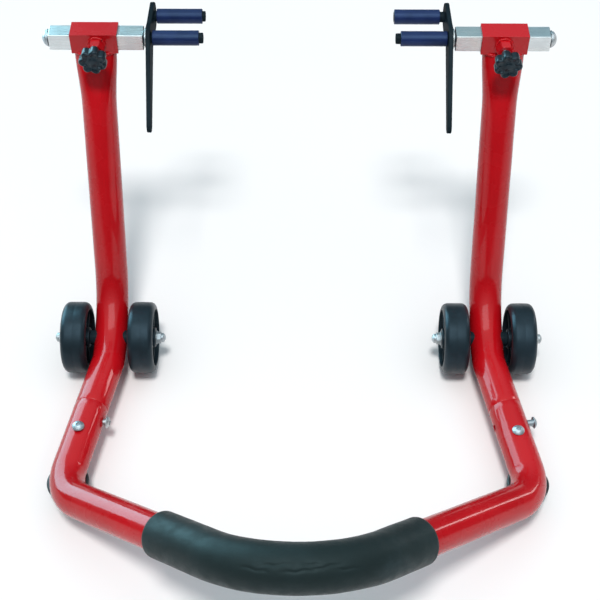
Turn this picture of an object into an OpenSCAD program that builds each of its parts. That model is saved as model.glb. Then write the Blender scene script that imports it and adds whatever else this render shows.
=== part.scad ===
// Rear paddock stand for a motorcycle: a bowed handle tube plugged into two bent
// uprights, four wheels, and two clamped sliders that carry the swingarm rollers.
//
// Frame: +Z up, +Y towards the motorcycle, +X to the right of somebody holding the handle.
// The stand rests on Z = 0, and X = 0 is its plane of symmetry.

/* [Tube] */
// Outside diameter of the frame tube
tube_od = 40; // [38:0.5:42]
// Wall thickness of the frame tube
tube_wall = 2; // [1.5:0.1:3]

/* [Handle] */
// Half width of the handle, measured where its arm and leg lines cross at a corner
corner_x = 266; // [255:1:280]
// Distance of that corner in front of the wheel axle
corner_reach = 221; // [205:1:240]
// Rise of the handle's bow plane above the ground
bow_slope = 39; // [34:0.5:42]
// Angle between each bow leg and the X axis, in the bow plane
leg_angle = 45; // [42:0.5:47]
// Bend radius at the middle of the bow
bow_bend_r = 123; // [105:1:140]
// Bend radius of the two corners
corner_bend_r = 55; // [50:1:65]

/* [Grip] */
// Outside diameter of the foam grip
grip_od = 51; // [46:0.5:56]
// Length of grip to the right of the middle, along the tube
grip_right = 151; // [120:1:160]
// Length of grip to the left of the middle, along the tube
grip_left = 173; // [130:1:180]

/* [Arms and uprights] */
// Height of the level arms' centre line
arm_z = 37; // [34:0.5:40]
// Angle at which the arms spread towards the handle
arm_splay = 10; // [8:0.5:12]
// Distance of each upright from the plane of symmetry
upright_x = 232.5; // [225:0.5:240]
// Backward lean of the uprights from vertical
upright_lean = 23; // [18:0.5:26]
// Bend radius between arm and upright
upright_bend_r = 100; // [90:1:105]
// Length of the flattened top end of an upright
flat_len = 70; // [50:1:90]
// Width of that flattened end
flat_w = 48; // [44:0.5:50]
// Depth of that flattened end
flat_d = 25; // [20:0.5:30]
// Distance from the axle forward to the joint between upright and handle
seam_reach = 103; // [95:1:112]

/* [Wheels] */
// Wheel diameter
wheel_d = 88; // [80:1:92]
// Wheel width
wheel_w = 31; // [25:0.5:33]
// Gap between the frame tube and each wheel
wheel_gap = 5; // [4:0.5:8]
// Axle diameter
axle_d = 8; // [8:1:12]

/* [Feet] */
// Diameter of the rubber feet
foot_d = 48; // [44:1:54]
// Height of the rubber feet
foot_h = 29; // [24:1:31]

/* [Sockets and sliders] */
// Height of the slider axis
pivot_z = 366; // [350:1:380]
// Outside size of the square socket
socket_size = 25; // [25:0.5:28]
// Length of the socket
socket_len = 53; // [48:1:60]
// Outside size of the square slider tube
slider_size = 20; // [18:0.5:20]
// Length of the slider tube
slider_len = 107; // [98:1:115]
// Distance of the slider's inner end from the plane of symmetry
slider_x = 176; // [172:0.5:180]

/* [Lever and rollers] */
// Thickness of the lever plate
lever_t = 5; // [4:0.5:6]
// Radius of the lever around its pivot
hub_r = 16; // [14:0.5:18]
// Distance of the rear pin behind the pivot
rear_pin_y = 45.5; // [42:0.5:50]
// Distance of the rear pin below the pivot
rear_pin_drop = 3; // [0:0.5:6]
// Reach of the lever's leg forward of the pivot
leg_y = 73; // [65:1:80]
// Drop of the lever's leg below the pivot
leg_drop = 67; // [60:1:75]
// Diameter of the support pins
pin_d = 12; // [10:1:14]
// Length of the support pins beyond the lever
pin_len = 58.5; // [56:0.5:64]
// Outside diameter of the roller sleeves
sleeve_d = 17; // [16:0.5:20]
// Length of the roller sleeves
sleeve_len = 52.5; // [48:0.5:52.5]

/* [Clamp knobs] */
// Diameter of the star knob over its lobes
knob_d = 32; // [28:1:36]
// Number of lobes
knob_lobes = 7; // [5:1:9]
// Distance from the socket's face to the front of the right knob
knob_reach = 40; // [38:1:45]
// How much further in the left knob is screwed
left_knob_in = 5.5; // [0:0.5:6]
// Thread diameter of the clamp stud
stud_d = 8; // [6:1:8]

/* [Hidden] */
$fn = 64;

LEFT = -1;
RIGHT = 1;
eps = 0.01;
run_fit = 0.05;         // radial clearance of a turning pair
slip_fit = 0.1;         // radial clearance of parts pushed together
gap = 0.3;              // clearance between parts that move past each other

tube_r = tube_od / 2;
bore_r = tube_r - tube_wall;

// Runs of tube are lists of steps: a straight [length], or a bend [angle, radius, roll]
// whose roll turns the direction of the bend about the run.
ring_sides = 32;
ring_angle = 5.7;       // bend between neighbouring rings

// Handle. The legs' lines cross at X = 0, and the middle bend cuts that crossing off.
bow_apex = corner_x * tan(leg_angle) - bow_bend_r * (1 / cos(leg_angle) - 1);
apex_y = -corner_reach - bow_apex * cos(bow_slope);
apex_z = arm_z + bow_apex * sin(bow_slope);
// A frame is [place, across, up, ahead]. At the apex it heads right, across points back
// down the bow plane, and up is square to that plane.
bow_back = [0, cos(bow_slope), -sin(bow_slope)];
bow_up = [0, sin(bow_slope), cos(bow_slope)];
apex_frame = [[0, apex_y, apex_z], bow_back, bow_up, [1, 0, 0]];
leg_dir = cos(leg_angle) * [1, 0, 0] + sin(leg_angle) * bow_back;
leg_side = cos(leg_angle) * bow_back - sin(leg_angle) * [1, 0, 0];
arm_dir = [-sin(arm_splay), cos(arm_splay), 0];
corner_turn = acos(leg_dir * arm_dir);
corner_roll = atan2(arm_dir * bow_up, arm_dir * leg_side);
corner_cut = corner_bend_r * tan(corner_turn / 2);
leg_len = corner_x / cos(leg_angle) - bow_bend_r * tan(leg_angle) - corner_cut;
// Arm, from the corner to the joint
seam_y = -seam_reach;
seam_x = corner_x - (corner_reach - seam_reach) * tan(arm_splay);
seam_frame = [[seam_x, seam_y, arm_z], [cos(arm_splay), sin(arm_splay), 0], [0, 0, -1], arm_dir];
handle_arm_len = (corner_reach - seam_reach) / cos(arm_splay) - corner_cut;
middle_bend = [leg_angle, bow_bend_r, 0];
handle_steps = [middle_bend, [leg_len], [corner_turn, corner_bend_r, corner_roll],
                [handle_arm_len]];
middle_bend_len = bow_bend_r * leg_angle * PI / 180;

// Upright. A small sideways bend takes out the splay, then the tube turns up.
splay_bend_r = 60;
turn_up = 90 - upright_lean;
splay_cut = splay_bend_r * tan(arm_splay / 2);
turn_cut = upright_bend_r * tan(turn_up / 2);
splay_y = seam_y + (seam_x - upright_x) / tan(arm_splay);
socket_bottom = pivot_z - socket_size / 2;
pivot_y = 174;          // slider axis behind the wheel axle
vertex_y = pivot_y - (socket_bottom - arm_z) * tan(upright_lean);
upright_len = (socket_bottom - arm_z) / cos(upright_lean);
upright_steps = [
    [(splay_y - seam_y) / cos(arm_splay) - splay_cut],
    [arm_splay, splay_bend_r, 0],
    [vertex_y - splay_y - splay_cut - turn_cut],
    [turn_up, upright_bend_r, -90],
    [upright_len - turn_cut - flat_len]
];
flat_rings = 6;         // rings over the flattened length

// The origin is under the middle of the stand's bounding box.
front_y = apex_y - grip_od / 2;
rear_y = pivot_y + rear_pin_y + hub_r;
origin_y = -(front_y + rear_y) / 2;

// Joint between handle and upright
joint_insert = 60;      // length of sleeve in the handle's arm
upright_insert = 28;    // and in the upright, which soon bends
joint_wall = 2;
screw_d = 8;
screw_head_d = 14;
screw_head_h = 4.4;
screw_dome_r = 8.6;
screw_hex_d = 5.8;
screw_hex_depth = 2.5;
// The screws aren't drilled or driven home alike. Each pair is the left one, then the right.
top_screw = [43, 45];   // from the seam, along the arm
side_screw = [17, 24];
top_stand_off = [3, 0.4];       // gap under a screw head
side_stand_off = [3.5, 7];
joint_nut_af = 13;
joint_nut_h = 6;
joint_nut_drop = 3;     // gap between the sleeve's bore and each nut
thread_past = 2;        // thread that shows beyond a nut
nut_face_r = bore_r - slip_fit - joint_wall - joint_nut_drop;

// Wheels and axles
wheel_r = wheel_d / 2;
axle_z = wheel_r;
wheel_in_x = upright_x - tube_r - wheel_gap;    // near face of the inner wheel
wheel_out_x = upright_x + tube_r + wheel_gap;   // near face of the outer wheel
rim_t = 9;
web_t = 9;
tread_round = 7.5;
wheel_hub_r = 12;
axle_bush_r = 8.75;
axle_washer_r = axle_d + 0.5;
axle_washer_t = 1.2;
axle_nut_af = axle_d + 5;
axle_nut_hex = 5;
axle_nut_h = 10.5;
axle_nut_dome_r = 8;
axle_nut_cap = 1.5;     // thickness of the nut's closed end
axle_inset = 2;         // from the axle's end to the outside of its nut
// Faces of the axle nuts that bear on the washers
nut_in_x = wheel_in_x - wheel_w - gap - axle_washer_t;
nut_out_x = wheel_out_x + wheel_w + gap + axle_washer_t;

// Feet
foot_y = -199;
foot_x = corner_x - (corner_reach + foot_y) * tan(arm_splay);
foot_screw_d = 6;
foot_screw_head_d = 12;
foot_screw_head_h = 3.5;
foot_screw_len = 22;
foot_hex_d = 4.6;
foot_hex_depth = 2;
foot_bore_h = 9;        // floor of the screw's recess, above the ground

// Socket and slider
socket_wall = 2;
socket_x = upright_x - 1;
slider_wall = 2;
slider_in = slider_size - 2 * slider_wall;
weld_nut_af = 17;
weld_nut_h = 14;
weld_r = 1.6;
weld_out = 0.6;         // the bead's centre line, outside the nut's flats
bush_depth = 12;
bush_lip = 1.5;
shank_d = 10;
end_washer_r = 11.5;
end_washer_t = 1.5;
cap_flange_r = 9.8;
cap_flange_t = 1.5;
cap_skirt_r = 8.8;
cap_dome_r = 11;
cap_h = 7.5;
cap_wall = 2;
cap_x = slider_x + slider_len + 2 * gap;        // the cap clears the slider's end
shank_end = cap_x + cap_h - cap_wall - 0.5;

// Lever
lever_x = slider_x - bush_lip - end_washer_t - 2 * gap; // outer face of the plate
lever_in_x = lever_x - lever_t;
leg_root_r = 17;
leg_tip_r = 7.75;
pin_tip_x = lever_in_x - pin_len;
pin_round = 1;
// Gap between each roller and its lever: front and rear, left then right
front_gap = [1.2, 0.4];
rear_gap = [2.4, 5.5];

// Knob
knob_t = 13;
knob_neck_r = 8;
knob_neck_h = 5;
knob_bore_floor = 4;    // from the knob's front face
lobe_r = 4.6;
lobe_reach = knob_d / 2 - lobe_r;
lobe_pitch = 360 / knob_lobes;
lobe_points = 12;       // points on each lobe's outline
waist_r = knob_d / 2 - 3;
socket_front = pivot_y - socket_size / 2;
knob_front = [socket_front - knob_reach + left_knob_in, socket_front - knob_reach];
clamp_x = [socket_x - 3, socket_x - 1];         // the nuts aren't welded on alike
stud_len = pivot_y - slider_size / 2 - gap - knob_front[0] - knob_bore_floor;

RED = "firebrick";
ZINC = "lightsteelblue";
DARK = "darkslategray";
BLACK = [0.1, 0.1, 0.11];
NAVY = "midnightblue";

// Draws its children, made for the right side, on the given side
module on_side(side) {
    translate([0, origin_y, 0]) mirror([side == LEFT ? 1 : 0, 0, 0]) children();
}

function pick(pair, side) = side == LEFT ? pair[0] : pair[1];

function turned(v, axis, a) =
    v * cos(a) + cross(axis, v) * sin(a) + axis * (axis * v) * (1 - cos(a));

// The frame reached by going straight on, or round part of a bend
function ahead(f, length) = [f[0] + length * f[3], f[1], f[2], f[3]];

function bent(f, angle, radius, roll) =
    let (to = cos(roll) * f[1] + sin(roll) * f[2], axis = cross(f[3], to))
    [
        f[0] + radius * (1 - cos(angle)) * to + radius * sin(angle) * f[3],
        turned(f[1], axis, angle), turned(f[2], axis, angle), turned(f[3], axis, angle)
    ];

// All the frames along a run of steps that starts at frame f
function run_frames(f, steps, i = 0) =
    i == len(steps) ? [f] :
    let (s = steps[i], n = len(s) == 1 ? 1 : ceil(s[0] / ring_angle))
    let (next = len(s) == 1
        ? [ahead(f, s[0])]
        : [for (k = [1:n]) bent(f, s[0] * k / n, s[1], s[2])])
    concat([f], [for (k = [0:1:n - 2]) next[k]], run_frames(next[n - 1], steps, i + 1));

// Points of a ring: round when spread is 0, otherwise two half rounds that far from centre
function ring(f, r, spread = 0) = [
    for (j = [0:ring_sides - 1])
        let (a = 360 * j / ring_sides, c = abs(cos(a)) < eps ? 0 : cos(a))
        f[0] + (r * c + spread * sign(c)) * f[1] + r * sin(a) * f[2]
];

function rings(frames, r) = [for (f = frames) ring(f, r)];

function mirrored(ring_points) = [for (p = ring_points) [-p[0], p[1], p[2]]];

// Rings of a left half and a right half that both start at the apex
function joined(left, right) =
    concat([for (i = [len(left) - 1:-1:1]) mirrored(left[i])], right);

function flat_list(lists) = [for (l = lists, p = l) p];

// Two triangles for each side of the band between ring i and the next; flip turns them over
function band(start, i, flip) = [
    for (j = [0:ring_sides - 1])
        let (k = (j + 1) % ring_sides, a = start + i * ring_sides, b = a + ring_sides)
        each flip
            ? [[a + j, b + k, b + j], [a + j, a + k, b + k]]
            : [[a + j, b + j, b + k], [a + j, b + k, a + k]]
];

// Solid body through a list of rings
module solid_body(outer) {
    n = len(outer);
    last = (n - 1) * ring_sides;
    polyhedron(
        points = flat_list(outer),
        faces = concat(
            [for (i = [0:n - 2]) each band(0, i, false)],
            [[for (j = [0:ring_sides - 1]) j]],
            [[for (j = [ring_sides - 1:-1:0]) last + j]]
        )
    );
}

// Hollow body between two lists of rings, open at both ends
module hollow_body(outer, inner) {
    n = len(outer);
    inside = n * ring_sides;
    last = (n - 1) * ring_sides;
    polyhedron(
        points = concat(flat_list(outer), flat_list(inner)),
        faces = concat(
            [for (i = [0:n - 2]) each band(0, i, false)],
            [for (i = [0:n - 2]) each band(inside, i, true)],
            [for (j = [0:ring_sides - 1])
                let (k = (j + 1) % ring_sides)
                each [[j, k, inside + k], [j, inside + k, inside + j],
                    [last + j, inside + last + k, last + k],
                    [last + j, inside + last + j, inside + last + k]]]
        )
    );
}

// Places a child that heads along +Z so that it heads back along the arm from the joint
module at_seam() {
    translate([seam_x, seam_y, arm_z]) rotate([0, 0, arm_splay]) rotate([-90, 0, 0]) children();
}

// Places a screw through the arm: 0 is down from the top, 90 is from the outer side
module through_arm(from_seam, turn) {
    at_seam() translate([0, 0, -from_seam]) rotate([0, 0, turn]) rotate([90, 0, 0]) children();
}

module screw_holes(side, r) {
    through_arm(pick(top_screw, side), 0) cylinder(r = r, h = 4 * tube_r, center = true);
    through_arm(pick(side_screw, side), 90) cylinder(r = r, h = 4 * tube_r, center = true);
}

function handle_rings(r) =
    let (half = rings(run_frames(apex_frame, handle_steps), r)) joined(half, half);

module handle_tube() {
    color(RED) translate([0, origin_y, 0]) difference() {
        hollow_body(handle_rings(tube_r), handle_rings(bore_r));
        screw_holes(RIGHT, screw_d / 2 + slip_fit);
        mirror([1, 0, 0]) screw_holes(LEFT, screw_d / 2 + slip_fit);
        for (x = [-foot_x, foot_x])
            translate([x, foot_y, 0]) cylinder(d = foot_screw_d + 2 * slip_fit, h = arm_z);
    }
}

function grip_half(length, r) =
    rings(run_frames(apex_frame, [middle_bend, [length - middle_bend_len]]), r);

function grip_rings(r) = joined(grip_half(grip_left, r), grip_half(grip_right, r));

module foam_grip() {
    color(DARK) translate([0, origin_y, 0])
        hollow_body(grip_rings(grip_od / 2), grip_rings(tube_r + slip_fit));
}

// The same ring slid along its run until it lies level at the given height
function levelled(points, dir, height) =
    [for (p = points) p + dir * (height - p[2]) / dir[2]];

// Rings of an upright: round up to the flattened end, then wider and shallower
function upright_rings(wall) =
    let (frames = run_frames(seam_frame, upright_steps), top = frames[len(frames) - 1])
    let (spread = (flat_w - flat_d) / 2)
    concat(
        [for (f = frames) ring(f, tube_r - wall)],
        [for (k = [1:flat_rings])
            let (t = k / flat_rings, blend = (1 - cos(180 * t)) / 2)
            let (r = tube_r + (flat_d / 2 - tube_r) * blend - wall)
            let (points = ring(ahead(top, flat_len * t), r, spread * blend))
            k < flat_rings ? points : levelled(points, top[3], socket_bottom)]
    );

module upright(side) {
    color(RED) on_side(side) difference() {
        hollow_body(upright_rings(0), upright_rings(tube_wall));
        translate([upright_x, 0, axle_z]) rotate([0, 90, 0])
            cylinder(r = axle_bush_r + slip_fit, h = 4 * tube_r, center = true);
    }
}

module joint_sleeve(side) {
    r = bore_r - slip_fit;
    color("dimgray") on_side(side) difference() {
        at_seam() translate([0, 0, -joint_insert]) difference() {
            cylinder(r = r, h = joint_insert + upright_insert);
            translate([0, 0, -1])
                cylinder(r = r - joint_wall, h = joint_insert + upright_insert + 2);
        }
        screw_holes(side, screw_d / 2 + slip_fit);
    }
}

// Angle of a side screw round the arm: both heads face +X
function side_turn(side) = side == LEFT ? -90 : 90;

// The screws pass through one wall of the tube and end in a nut inside the sleeve.
module joint_screws() {
    reach = tube_r - nut_face_r + joint_nut_h + thread_past;
    color(ZINC) {
        for (side = [LEFT, RIGHT]) {
            on_side(side) through_arm(pick(top_screw, side), 0)
                translate([0, 0, tube_r + pick(top_stand_off, side)])
                    socket_screw(reach + pick(top_stand_off, side));
            on_side(side) through_arm(pick(side_screw, side), side_turn(side))
                translate([0, 0, tube_r + pick(side_stand_off, side)])
                    socket_screw(reach + pick(side_stand_off, side));
        }
    }
}

module socket_screw(length) {
    difference() {
        union() {
            translate([0, 0, -length]) cylinder(d = screw_d, h = length);
            intersection() {
                cylinder(d = screw_head_d, h = screw_head_h);
                translate([0, 0, screw_head_h - screw_dome_r]) sphere(r = screw_dome_r);
            }
        }
        translate([0, 0, screw_head_h - screw_hex_depth])
            cylinder(d = screw_hex_d, h = screw_hex_depth + 1, $fn = 6);
    }
}

// Hexagon nut standing on Z = 0
module hex_nut(af, h, hole_d) {
    difference() {
        cylinder(d = af / cos(30), h = h, $fn = 6);
        translate([0, 0, -1]) cylinder(d = hole_d, h = h + 2);
    }
}

module joint_nuts() {
    color(ZINC) {
        for (side = [LEFT, RIGHT], turn = [0, side_turn(side)]) {
            on_side(side) through_arm(pick(turn == 0 ? top_screw : side_screw, side), turn)
                translate([0, 0, nut_face_r - joint_nut_h])
                    hex_nut(joint_nut_af, joint_nut_h, screw_d + 2 * run_fit);
        }
    }
}

module foot(side) {
    color(BLACK) on_side(side) difference() {
        translate([foot_x, foot_y, 0]) rotate_extrude() foot_profile();
        solid_body(rings(run_frames(apex_frame, handle_steps), tube_r + slip_fit));
        translate([foot_x, foot_y, 0]) {
            cylinder(d = foot_screw_d + 2 * slip_fit, h = foot_h);
            translate([0, 0, -1]) cylinder(d = foot_screw_head_d + 2, h = foot_bore_h + 1);
        }
    }
}

// Half section of a foot: well rounded at the ground, with a rim at the top
module foot_profile() {
    r = foot_d / 2;
    edge = 2.5;
    heel = 10;
    rim_h = 8;
    neck = 1.5;         // the foot below its rim is this much smaller in radius
    square([r - neck - heel, foot_h]);
    translate([0, heel]) square([r - neck, foot_h - rim_h - heel + 1]);
    translate([r - neck - heel, heel]) intersection() {
        circle(r = heel);
        translate([0, -heel]) square(heel);
    }
    translate([0, foot_h - rim_h]) square([r - edge, rim_h]);
    translate([0, foot_h - rim_h + edge]) square([r, rim_h - 2 * edge]);
    for (z = [foot_h - rim_h + edge, foot_h - edge]) translate([r - edge, z]) circle(r = edge);
}

module foot_screws() {
    color(ZINC) {
        for (side = [LEFT, RIGHT]) {
            on_side(side) translate([foot_x, foot_y, foot_bore_h - foot_screw_head_h]) {
                cylinder(d = foot_screw_d, h = foot_screw_len);
                difference() {
                    cylinder(d = foot_screw_head_d, h = foot_screw_head_h);
                    translate([0, 0, -1]) cylinder(d = foot_hex_d, h = foot_hex_depth + 1, $fn = 6);
                }
            }
        }
    }
}

// Square tube along +X, open at both ends
module square_tube(size, wall, length) {
    difference() {
        translate([0, -size / 2, -size / 2]) cube([length, size, size]);
        translate([-1, wall - size / 2, wall - size / 2])
            cube([length + 2, size - 2 * wall, size - 2 * wall]);
    }
}

module at_pivot(x) {
    translate([x, pivot_y, pivot_z]) children();
}

module socket(side) {
    color(RED) on_side(side) {
        difference() {
            at_pivot(socket_x - socket_len / 2) square_tube(socket_size, socket_wall, socket_len);
            at_pivot(pick(clamp_x, side)) rotate([90, 0, 0])
                cylinder(d = stud_d + 2 * gap, h = socket_size);
        }
    }
}

// Nut on the front of the socket, with the bead that welds it on
module weld_nut(side) {
    color(RED) on_side(side) at_pivot(pick(clamp_x, side)) translate([0, -socket_size / 2, 0])
        rotate([90, 0, 0]) difference() {
            union() {
                cylinder(d = weld_nut_af / cos(30), h = weld_nut_h, $fn = 6);
                difference() {
                    rotate_extrude() translate([weld_nut_af / 2 + weld_out, 0]) circle(r = weld_r);
                    translate([0, 0, -socket_size])
                        cube(2 * socket_size, center = true);
                }
            }
            translate([0, 0, -1]) cylinder(d = stud_d + 2 * run_fit, h = weld_nut_h + 2);
        }
}

module axle_bush(side) {
    x0 = wheel_in_x + gap;
    x1 = wheel_out_x - gap;
    color(BLACK) on_side(side) translate([x0, 0, axle_z]) rotate([0, 90, 0]) difference() {
        cylinder(r = axle_bush_r, h = x1 - x0);
        translate([0, 0, -1]) cylinder(d = axle_d + 2 * slip_fit, h = x1 - x0 + 2);
    }
}

module axle(side) {
    color(ZINC) on_side(side) translate([nut_in_x - axle_nut_h + axle_inset, 0, axle_z])
        rotate([0, 90, 0])
            cylinder(d = axle_d, h = nut_out_x - nut_in_x + 2 * (axle_nut_h - axle_inset));
}

// Closed nut standing on Z = 0: a hexagon, then a domed collar
module domed_nut(af, hex_h, h, dome_r, bore_d, cap) {
    collar_r = af / 2 - 0.7;
    difference() {
        union() {
            cylinder(d = af / cos(30), h = hex_h, $fn = 6);
            intersection() {
                cylinder(r = collar_r, h = h);
                translate([0, 0, h - dome_r]) sphere(r = dome_r);
            }
        }
        translate([0, 0, -1]) cylinder(d = bore_d, h = h - cap + 1);
    }
}

module axle_nut() {
    domed_nut(axle_nut_af, axle_nut_hex, axle_nut_h, axle_nut_dome_r, axle_d + 2 * run_fit,
        axle_nut_cap);
}

module axle_nuts() {
    color(ZINC) {
        for (side = [LEFT, RIGHT]) {
            on_side(side) {
                translate([nut_out_x, 0, axle_z]) rotate([0, 90, 0]) axle_nut();
                translate([nut_in_x, 0, axle_z]) rotate([0, -90, 0]) axle_nut();
            }
        }
    }
}

// Flat washer standing on Z = 0
module washer(r, t, hole_d) {
    difference() {
        cylinder(r = r, h = t);
        translate([0, 0, -1]) cylinder(d = hole_d, h = t + 2);
    }
}

module axle_washers() {
    color(ZINC) {
        for (side = [LEFT, RIGHT], x = [nut_in_x, nut_out_x - axle_washer_t]) {
            on_side(side) translate([x, 0, axle_z]) rotate([0, 90, 0])
                washer(axle_washer_r, axle_washer_t, axle_d + 2 * slip_fit);
        }
    }
}

// Half section of a wheel, axis on Y: rounded tread, recessed web and a full-width hub
module wheel_profile() {
    side_depth = (wheel_w - web_t) / 2;
    rim_in = wheel_r - rim_t;
    difference() {
        union() {
            square([wheel_r - tread_round, wheel_w]);
            translate([0, tread_round]) square([wheel_r, wheel_w - 2 * tread_round]);
            for (z = [tread_round, wheel_w - tread_round])
                translate([wheel_r - tread_round, z]) circle(r = tread_round);
        }
        for (z = [-1, wheel_w - side_depth]) {
            translate([wheel_hub_r, z]) square([rim_in - wheel_hub_r, side_depth + 1]);
        }
        translate([-1, -1]) square([axle_d / 2 + run_fit + 1, wheel_w + 2]);
    }
}

module wheel(side, near_x) {
    color(DARK) on_side(side) translate([near_x, 0, axle_z]) rotate([0, 90, 0])
        rotate_extrude($fn = 96) wheel_profile();
}

module slider_tube(side) {
    color(ZINC) on_side(side) at_pivot(slider_x)
        square_tube(slider_size, slider_wall, slider_len);
}

// Plastic plug in a slider's end, standing on Z = 0 with any lip outside the tube
module end_bush(lip) {
    size = slider_in - 2 * slip_fit;
    difference() {
        union() {
            translate([-size / 2, -size / 2, -bush_depth]) cube([size, size, bush_depth]);
            if (lip > 0) cylinder(r = slider_size / 2 - 1, h = lip);
        }
        translate([0, 0, -bush_depth - 1])
            cylinder(d = shank_d + 2 * slip_fit, h = bush_depth + lip + 2);
    }
}

module slider_bushes(side) {
    color(BLACK) on_side(side) {
        at_pivot(slider_x) rotate([0, -90, 0]) end_bush(bush_lip);
        at_pivot(slider_x + slider_len) rotate([0, 90, 0]) end_bush(0);
    }
}

// Pin with a rounded tip, standing on Z = 0
module rounded_pin(d, length) {
    difference() {
        cylinder(d = d, h = length);
        rotate_extrude() difference() {
            translate([d / 2 - pin_round, -1]) square([pin_round + 1, pin_round + 1]);
            translate([d / 2 - pin_round, pin_round]) circle(r = pin_round);
        }
    }
}

// Front support pin: its collar passes through the lever, and its shank through the slider
module pivot_pin(side) {
    collar_x = slider_x - bush_lip - end_washer_t - gap;
    color(BLACK) on_side(side) {
        at_pivot(pin_tip_x) rotate([0, 90, 0]) {
            rounded_pin(pin_d, collar_x - pin_tip_x);
            cylinder(d = shank_d, h = shank_end - pin_tip_x);
        }
    }
}

// Push-on cap on the outer end of the pivot pin: a flange and a dome
module pin_cap(side) {
    color(ZINC) on_side(side) at_pivot(cap_x) rotate([0, 90, 0]) difference() {
        union() {
            cylinder(r = cap_flange_r, h = cap_flange_t);
            intersection() {
                cylinder(r = cap_skirt_r, h = cap_h);
                translate([0, 0, cap_h - cap_dome_r]) sphere(r = cap_dome_r);
            }
        }
        translate([0, 0, -1]) cylinder(d = shank_d + 2 * run_fit, h = cap_h - cap_wall + 1);
    }
}

module end_washer(side) {
    color(ZINC) on_side(side) at_pivot(slider_x - bush_lip - end_washer_t) rotate([0, 90, 0])
        washer(end_washer_r, end_washer_t, shank_d + 2 * slip_fit);
}

// Outline of the lever with its pivot at the origin, X towards the motorcycle and Y up
module lever_outline() {
    hull() {
        circle(r = hub_r);
        translate([rear_pin_y, -rear_pin_drop]) circle(r = hub_r);
    }
    hull() {
        circle(r = leg_root_r);
        translate([-leg_y, -leg_drop]) circle(r = leg_tip_r);
    }
}

module lever(side) {
    color(BLACK) on_side(side) at_pivot(lever_in_x) rotate([90, 0, 90]) difference() {
        linear_extrude(lever_t) lever_outline();
        translate([0, 0, -1]) cylinder(d = pin_d + 2 * run_fit, h = lever_t + 2);
        translate([rear_pin_y, -rear_pin_drop, -1])
            cylinder(d = pin_d + 2 * run_fit, h = lever_t + 2);
    }
}

module rear_pin(side) {
    color(BLACK) on_side(side) at_pivot(pin_tip_x)
        translate([0, rear_pin_y, -rear_pin_drop]) rotate([0, 90, 0])
            rounded_pin(pin_d, lever_x - pin_tip_x);
}

module roller(side, y, drop, gaps) {
    color(NAVY) on_side(side) at_pivot(lever_in_x - pick(gaps, side) - sleeve_len)
        translate([0, y, -drop]) rotate([0, 90, 0]) difference() {
            cylinder(d = sleeve_d, h = sleeve_len);
            translate([0, 0, -1]) cylinder(d = pin_d + 2 * run_fit, h = sleeve_len + 2);
        }
}

// Radius of the star knob's outline at an angle from the middle of its nearest lobe
function star_r(off) =
    let (across = lobe_reach * sin(off))
    abs(across) < lobe_r
        ? max(waist_r, lobe_reach * cos(off) + sqrt(lobe_r * lobe_r - across * across))
        : waist_r;

star_outline = [
    for (i = [0:knob_lobes - 1], j = [0:lobe_points - 1])
        let (off = lobe_pitch * (j / lobe_points - 0.5), a = lobe_pitch * i + off)
        star_r(off) * [cos(a), sin(a)]
];

// Star knob: a lobed body, and a round neck towards the socket
module knob(side) {
    depth = knob_t + knob_neck_h;
    color(BLACK) on_side(side) translate([pick(clamp_x, side), pick(knob_front, side), pivot_z])
        rotate([-90, 0, 0]) difference() {
            union() {
                linear_extrude(knob_t) polygon(star_outline);
                cylinder(r = knob_neck_r, h = depth);
            }
            translate([0, 0, knob_bore_floor]) cylinder(d = stud_d, h = depth);
        }
}

module clamp_stud(side) {
    start_y = pick(knob_front, side) + knob_bore_floor;
    color(ZINC) on_side(side) translate([pick(clamp_x, side), start_y, pivot_z])
        rotate([-90, 0, 0]) cylinder(d = stud_d, h = stud_len);
}

handle_tube();
foam_grip();
upright(LEFT);  // left_upright
upright(RIGHT);  // right_upright
joint_sleeve(LEFT);  // left_joint_sleeve
joint_sleeve(RIGHT);  // right_joint_sleeve
joint_screws();
joint_nuts();
foot(LEFT);  // left_foot
foot(RIGHT);  // right_foot
foot_screws();
socket(LEFT);  // left_socket
socket(RIGHT);  // right_socket
weld_nut(LEFT);  // left_weld_nut
weld_nut(RIGHT);  // right_weld_nut
axle_bush(LEFT);  // left_axle_bush
axle_bush(RIGHT);  // right_axle_bush
axle(LEFT);  // left_axle
axle(RIGHT);  // right_axle
axle_nuts();
axle_washers();
wheel(LEFT, wheel_out_x);  // left_outer_wheel
wheel(LEFT, wheel_in_x - wheel_w);  // left_inner_wheel
wheel(RIGHT, wheel_in_x - wheel_w);  // right_inner_wheel
wheel(RIGHT, wheel_out_x);  // right_outer_wheel
knob(LEFT);  // left_knob
knob(RIGHT);  // right_knob
clamp_stud(LEFT);  // left_clamp_stud
clamp_stud(RIGHT);  // right_clamp_stud
slider_tube(LEFT);  // left_slider_tube
slider_tube(RIGHT);  // right_slider_tube
slider_bushes(LEFT);  // left_slider_bushes
slider_bushes(RIGHT);  // right_slider_bushes
pivot_pin(LEFT);  // left_pivot_pin
pivot_pin(RIGHT);  // right_pivot_pin
pin_cap(LEFT);  // left_pin_cap
pin_cap(RIGHT);  // right_pin_cap
end_washer(LEFT);  // left_end_washer
end_washer(RIGHT);  // right_end_washer
lever(LEFT);  // left_lever
lever(RIGHT);  // right_lever
rear_pin(LEFT);  // left_rear_pin
rear_pin(RIGHT);  // right_rear_pin
roller(LEFT, 0, 0, front_gap);  // left_front_roller
roller(LEFT, rear_pin_y, rear_pin_drop, rear_gap);  // left_rear_roller
roller(RIGHT, 0, 0, front_gap);  // right_front_roller
roller(RIGHT, rear_pin_y, rear_pin_drop, rear_gap);  // right_rear_roller
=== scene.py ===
"""Looks of the motorcycle paddock stand: every visible piece, its materials, the studio and the camera.

The functions work in millimetres in the row frame, and to_object() turns the result into metres.
"""
import math

import bmesh
import bpy
from mathutils import Matrix, Vector, noise


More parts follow.
